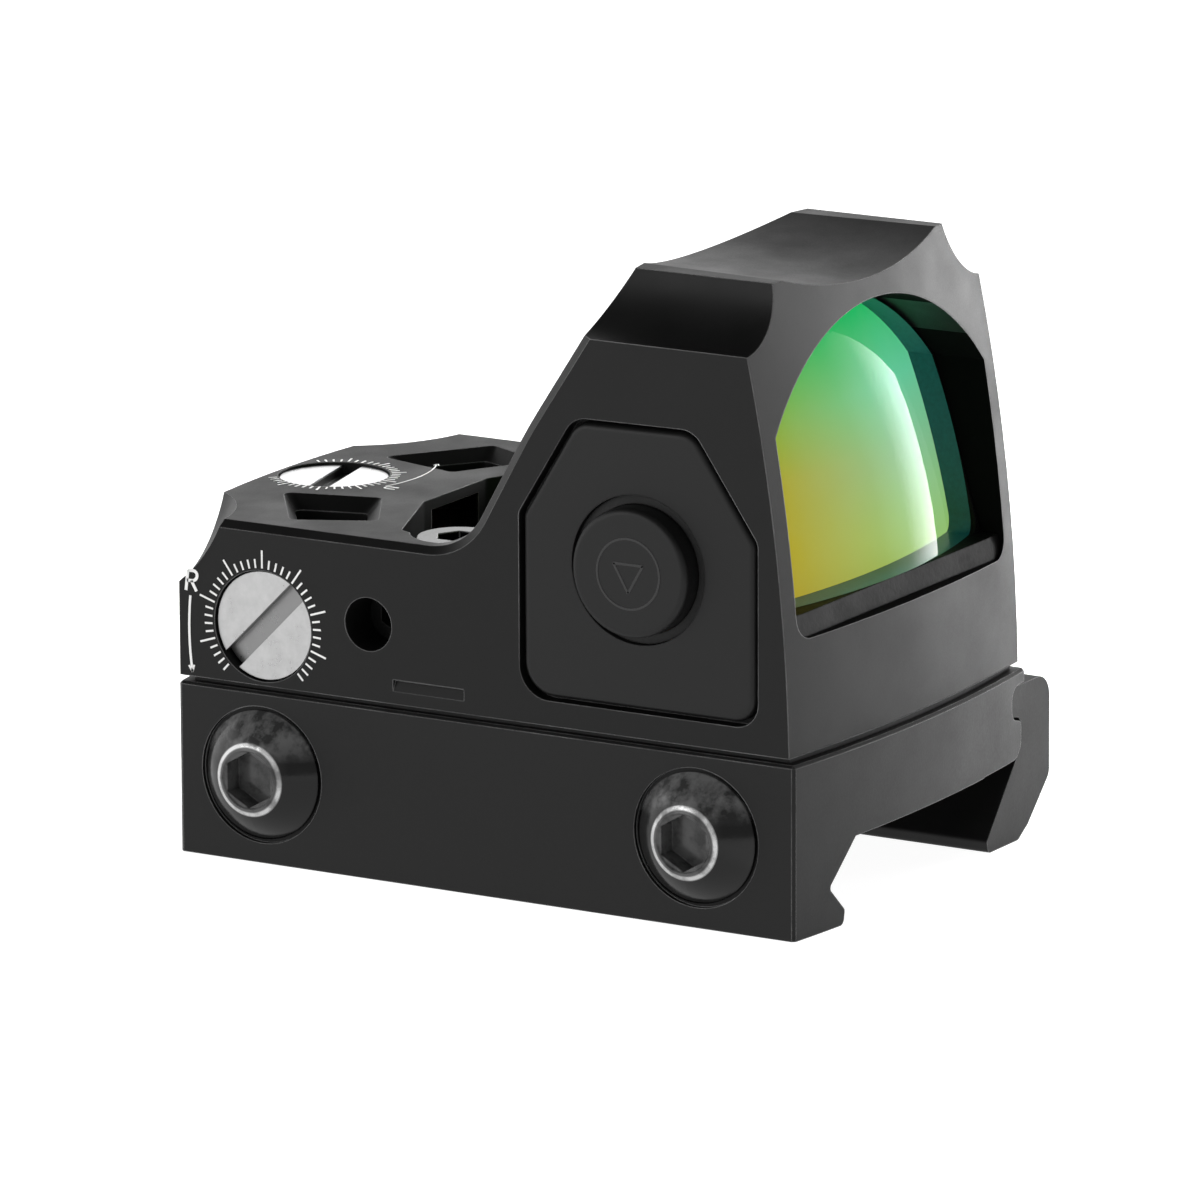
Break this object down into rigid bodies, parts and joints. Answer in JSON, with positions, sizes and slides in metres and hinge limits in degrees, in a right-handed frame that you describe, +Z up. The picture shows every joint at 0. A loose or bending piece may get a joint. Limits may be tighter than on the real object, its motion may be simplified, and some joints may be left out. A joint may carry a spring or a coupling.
{
  "type": "reflex sight",
  "caption": "Compact open reflex sight with a framed lens, two slotted adjuster dials and side buttons, on a clamp base for a standard accessory rail.",
  "frame": {"origin": "middle of the base's underside face that rests on top of the rail", "axes": "+Z up, +Y forward (the lens faces +Y), +X to the sight's right (the windage dial's side)"},
  "size_m": [0.0327, 0.0446, 0.038],
  "materials": {
    "anodised": "matte black hard-anodised, fine blasted grain",
    "black_steel": "black oxide, oiled gloss",
    "bright_steel": "turned and polished face",
    "front_glass": "clear, polished",
    "coated_glass": "green to amber reflective coating",
    "sealant": "matt grey-black sealant",
    "pad_rubber": "fine matt moulded rubber",
    "soft_seal": "matt black rubber",
    "brass": "machined",
    "spring_steel": "drawn wire, clean",
    "plain_steel": "ground pins and balls",
    "board": "green solder mask",
    "chip": "moulded black package",
    "flex": "amber polyimide",
    "cell": "bright nickel can",
    "holder": "black moulded, matt",
    "emitter": "clear red epoxy"
  },
  "bodies": {
    "sight_body": {"base_mount": "anodised", "housing": "anodised", "mounting_screws": "black_steel", "lock_set_screw": "black_steel", "base_gasket": "soft_seal", "locating_pins": "plain_steel", "detent_balls": "plain_steel", "lens_front": "front_glass", "emitter_window": "front_glass", "lens_rear": "coated_glass", "lens_seal": "sealant", "windage_spring": "spring_steel", "elevation_spring": "spring_steel", "detent_springs": "spring_steel", "battery_contact_top": "spring_steel", "battery_contact_side": "spring_steel", "led_flex": "flex", "battery": "cell", "main_pcb": "board", "controller_chip": "chip", "keypad_right": "pad_rubber", "keypad_web_right": "pad_rubber", "dome_switch_right": "spring_steel", "switch_flex_right": "flex", "keypad_left": "pad_rubber", "keypad_web_left": "pad_rubber", "dome_switch_left": "spring_steel", "switch_flex_left": "flex"},
    "clamp_jaw": {"clamp_jaw": "anodised"},
    "clamp_screw_rear": {"clamp_screw_rear": "black_steel"},
    "clamp_screw_front": {"clamp_screw_front": "black_steel"},
    "windage_dial": {"windage_screw": "bright_steel", "windage_clip": "spring_steel", "windage_ring": "soft_seal"},
    "elevation_dial": {"elevation_screw": "bright_steel", "elevation_clip": "spring_steel", "elevation_ring": "soft_seal"},
    "windage_carriage": {"windage_carriage": "brass"},
    "elevation_yoke": {"elevation_yoke": "brass"},
    "emitter": {"emitter_holder": "holder", "led_emitter": "emitter"},
    "button_right": {"button_right": "pad_rubber"},
    "button_left": {"button_left": "pad_rubber"}
  },
  "joints": [
    {"name": "clamp_screw_rear_turn", "type": "hinge", "parent": "sight_body", "child": "clamp_screw_rear", "pos_m": [0.0157, -0.0154, 0.00033], "axis": [1, 0, 0], "range_deg": [0, 1081]},
    {"name": "clamp_screw_front_turn", "type": "hinge", "parent": "sight_body", "child": "clamp_screw_front", "pos_m": [0.0157, 0.0146, 0.00033], "axis": [1, 0, 0], "range_deg": [0, 1081]},
    {"name": "clamp_jaw_slide", "type": "slide", "parent": "sight_body", "child": "clamp_jaw", "axis": [-1, 0, 0], "range_m": [0, 0.0021]},
    {"name": "windage_turn", "type": "hinge", "parent": "sight_body", "child": "windage_dial", "pos_m": [0.01365, -0.0153, 0.00943], "axis": [1, 0, 0], "range_deg": [-541, 541]},
    {"name": "windage_carriage_slide", "type": "slide", "parent": "sight_body", "child": "windage_carriage", "axis": [1, 0, 0], "range_m": [-0.00052, 0.00052], "deforming": ["windage_spring", "led_flex"]},
    {"name": "elevation_turn", "type": "hinge", "parent": "sight_body", "child": "elevation_dial", "pos_m": [0, -0.0189, 0.01545], "axis": [0, 0, 1], "range_deg": [-541, 541]},
    {"name": "elevation_yoke_slide", "type": "slide", "parent": "sight_body", "child": "elevation_yoke", "axis": [0, 0, 1], "range_m": [-0.00052, 0.00052], "deforming": ["elevation_spring"]},
    {"name": "emitter_slide", "type": "slide", "parent": "windage_carriage", "child": "emitter", "axis": [0, 0, 1], "range_m": [-0.00053, 0.00053], "deforming": ["led_flex"]},
    {"name": "button_right_press", "type": "slide", "parent": "sight_body", "child": "button_right", "axis": [-1, 0, 0], "range_m": [0, 0.00035], "stiffness_N_per_m": 1500, "deforming": ["keypad_web_right", "dome_switch_right"]},
    {"name": "button_left_press", "type": "slide", "parent": "sight_body", "child": "button_left", "axis": [1, 0, 0], "range_m": [0, 0.00035], "stiffness_N_per_m": 1500, "deforming": ["keypad_web_left", "dome_switch_left"]}
  ],
  "couplings": [
    {"joint": "clamp_screw_rear_turn", "follows": "clamp_jaw_slide", "rad_per_m": 8976},
    {"joint": "clamp_screw_front_turn", "follows": "clamp_jaw_slide", "rad_per_m": 8976},
    {"joint": "windage_turn", "follows": "windage_carriage_slide", "rad_per_m": -17952},
    {"joint": "elevation_turn", "follows": "elevation_yoke_slide", "rad_per_m": -17952},
    {"joint": "emitter_slide", "follows": "elevation_yoke_slide", "ratio": 1}
  ]
}
